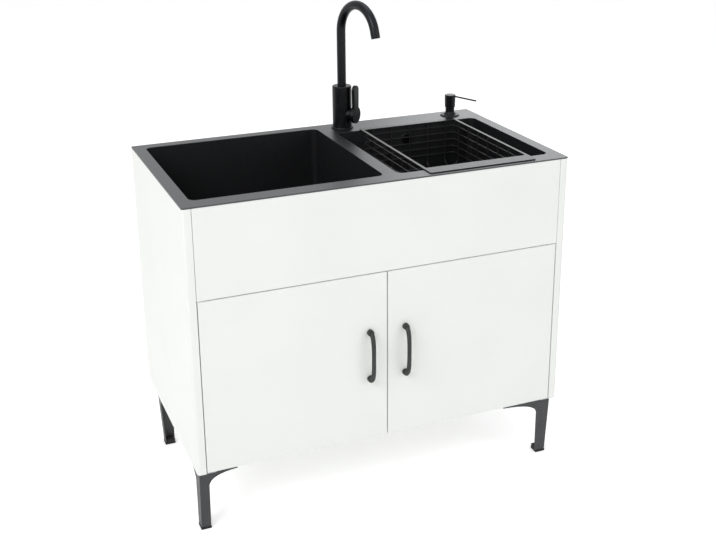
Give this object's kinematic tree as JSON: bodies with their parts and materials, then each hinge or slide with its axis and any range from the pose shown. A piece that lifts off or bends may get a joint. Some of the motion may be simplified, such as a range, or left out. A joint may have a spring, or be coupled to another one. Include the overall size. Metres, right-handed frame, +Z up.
{
  "type": "kitchen sink unit",
  "caption": "Freestanding kitchen sink unit on folded steel legs: hinged doors, sink deck with bowls, swan-neck mixer tap, soap pump, lift-out strainers and wire basket.",
  "frame": {"origin": "centre of the plan's bounding box on the floor, handles included", "axes": "+Z up, -Y towards the doors, +X to the viewer's right when facing the doors"},
  "size_m": [0.9, 0.528, 1.086],
  "materials": {
    "white_lacquer": "satin white lacquer on board",
    "black_steel": "black powder coat",
    "brushed_deck": "dark brushed steel",
    "dark_bowl": "dark nano-coated steel",
    "gunmetal": "gunmetal plating",
    "stainless": "satin stainless",
    "zinc_plate": "zinc plate",
    "white_plastic": "moulded white polypropylene",
    "black_plastic": "moulded black plastic",
    "clear_plastic": "frosted polyethylene",
    "black_rubber": "black rubber"
  },
  "bodies": {
    "cabinet": {"left_side_panel": "white_lacquer", "right_side_panel": "white_lacquer", "bottom_panel": "white_lacquer", "back_panel": "white_lacquer", "front_fascia": "white_lacquer", "front_rail": "white_lacquer", "front_left_leg": "black_steel", "front_right_leg": "black_steel", "rear_right_leg": "black_steel", "rear_left_leg": "black_steel", "left_door_top_pivot": "zinc_plate", "left_door_bottom_pivot": "zinc_plate", "right_door_top_pivot": "zinc_plate", "right_door_bottom_pivot": "zinc_plate", "tap_shank": "zinc_plate", "tap_fixing_nut": "zinc_plate", "door_catch": "black_plastic", "overflow_elbow": "black_plastic", "soap_fixing_nut": "black_plastic", "front_left_foot": "black_rubber", "front_right_foot": "black_rubber", "rear_right_foot": "black_rubber", "rear_left_foot": "black_rubber", "sink_deck": "brushed_deck", "left_bowl": "dark_bowl", "right_bowl": "dark_bowl", "overflow_rose": "stainless", "left_drain_body": "stainless", "right_drain_body": "stainless", "tap_base_ring": "stainless", "left_drain_nut": "white_plastic", "right_drain_nut": "white_plastic", "left_waste_elbow": "white_plastic", "right_waste_elbow": "white_plastic", "waste_tee": "white_plastic", "trap_body": "white_plastic", "trap_cup": "white_plastic", "outlet_pipe": "white_plastic", "tap_body": "gunmetal", "soap_collar": "gunmetal", "soap_bottle": "clear_plastic"},
    "left_door": {"left_door": "white_lacquer", "left_handle": "black_steel", "left_handle_screw_upper": "zinc_plate", "left_handle_screw_lower": "zinc_plate", "left_strike_plate": "zinc_plate"},
    "right_door": {"right_door": "white_lacquer", "right_handle": "black_steel", "right_handle_screw_upper": "zinc_plate", "right_handle_screw_lower": "zinc_plate", "right_strike_plate": "zinc_plate"},
    "spout": {"tap_spout": "gunmetal", "tap_aerator": "black_plastic"},
    "turret": {"tap_turret": "gunmetal"},
    "lever": {"tap_lever": "gunmetal"},
    "pump_stem": {"soap_stem": "stainless"},
    "pump_cap": {"soap_cap": "gunmetal"},
    "basket": {"wire_basket": "black_steel"},
    "left_strainer": {"left_strainer": "stainless"},
    "right_strainer": {"right_strainer": "stainless"}
  },
  "joints": [
    {"name": "left_door_hinge", "type": "hinge", "parent": "cabinet", "child": "left_door", "pos_m": [-0.418, -0.23, 0.3494], "axis": [0, 0, -1], "range_deg": [0, 110]},
    {"name": "right_door_hinge", "type": "hinge", "parent": "cabinet", "child": "right_door", "pos_m": [0.418, -0.23, 0.3494], "axis": [0, 0, 1], "range_deg": [0, 110]},
    {"name": "spout_swivel", "type": "hinge", "parent": "cabinet", "child": "spout", "pos_m": [0.0765, 0.222, 0.868], "axis": [0, 0, 1], "continuous": true},
    {"name": "tap_temperature", "type": "hinge", "parent": "cabinet", "child": "turret", "pos_m": [0.0765, 0.222, 0.796], "axis": [0.6428, -0.766, 0], "range_deg": [-45, 45]},
    {"name": "tap_flow", "type": "hinge", "parent": "turret", "child": "lever", "pos_m": [0.09925, 0.19488, 0.78], "axis": [0.766, 0.6428, 0], "range_deg": [0, 22]},
    {"name": "pump_press", "type": "slide", "parent": "cabinet", "child": "pump_stem", "axis": [0, 0, -1], "range_m": [0, 0.011], "stiffness_N_per_m": 300, "springref_m": -0.01},
    {"name": "pump_swivel", "type": "hinge", "parent": "pump_stem", "child": "pump_cap", "pos_m": [0.379, 0.222, 0.8], "axis": [0, 0, 1], "continuous": true},
    {"name": "basket_lift", "type": "slide", "parent": "cabinet", "child": "basket", "axis": [0, 0, 1], "range_m": [0, 0.13]},
    {"name": "left_strainer_lift", "type": "slide", "parent": "cabinet", "child": "left_strainer", "axis": [0, 0, 1], "range_m": [0, 0.06]},
    {"name": "right_strainer_lift", "type": "slide", "parent": "cabinet", "child": "right_strainer", "axis": [0, 0, 1], "range_m": [0, 0.06]}
  ]
}
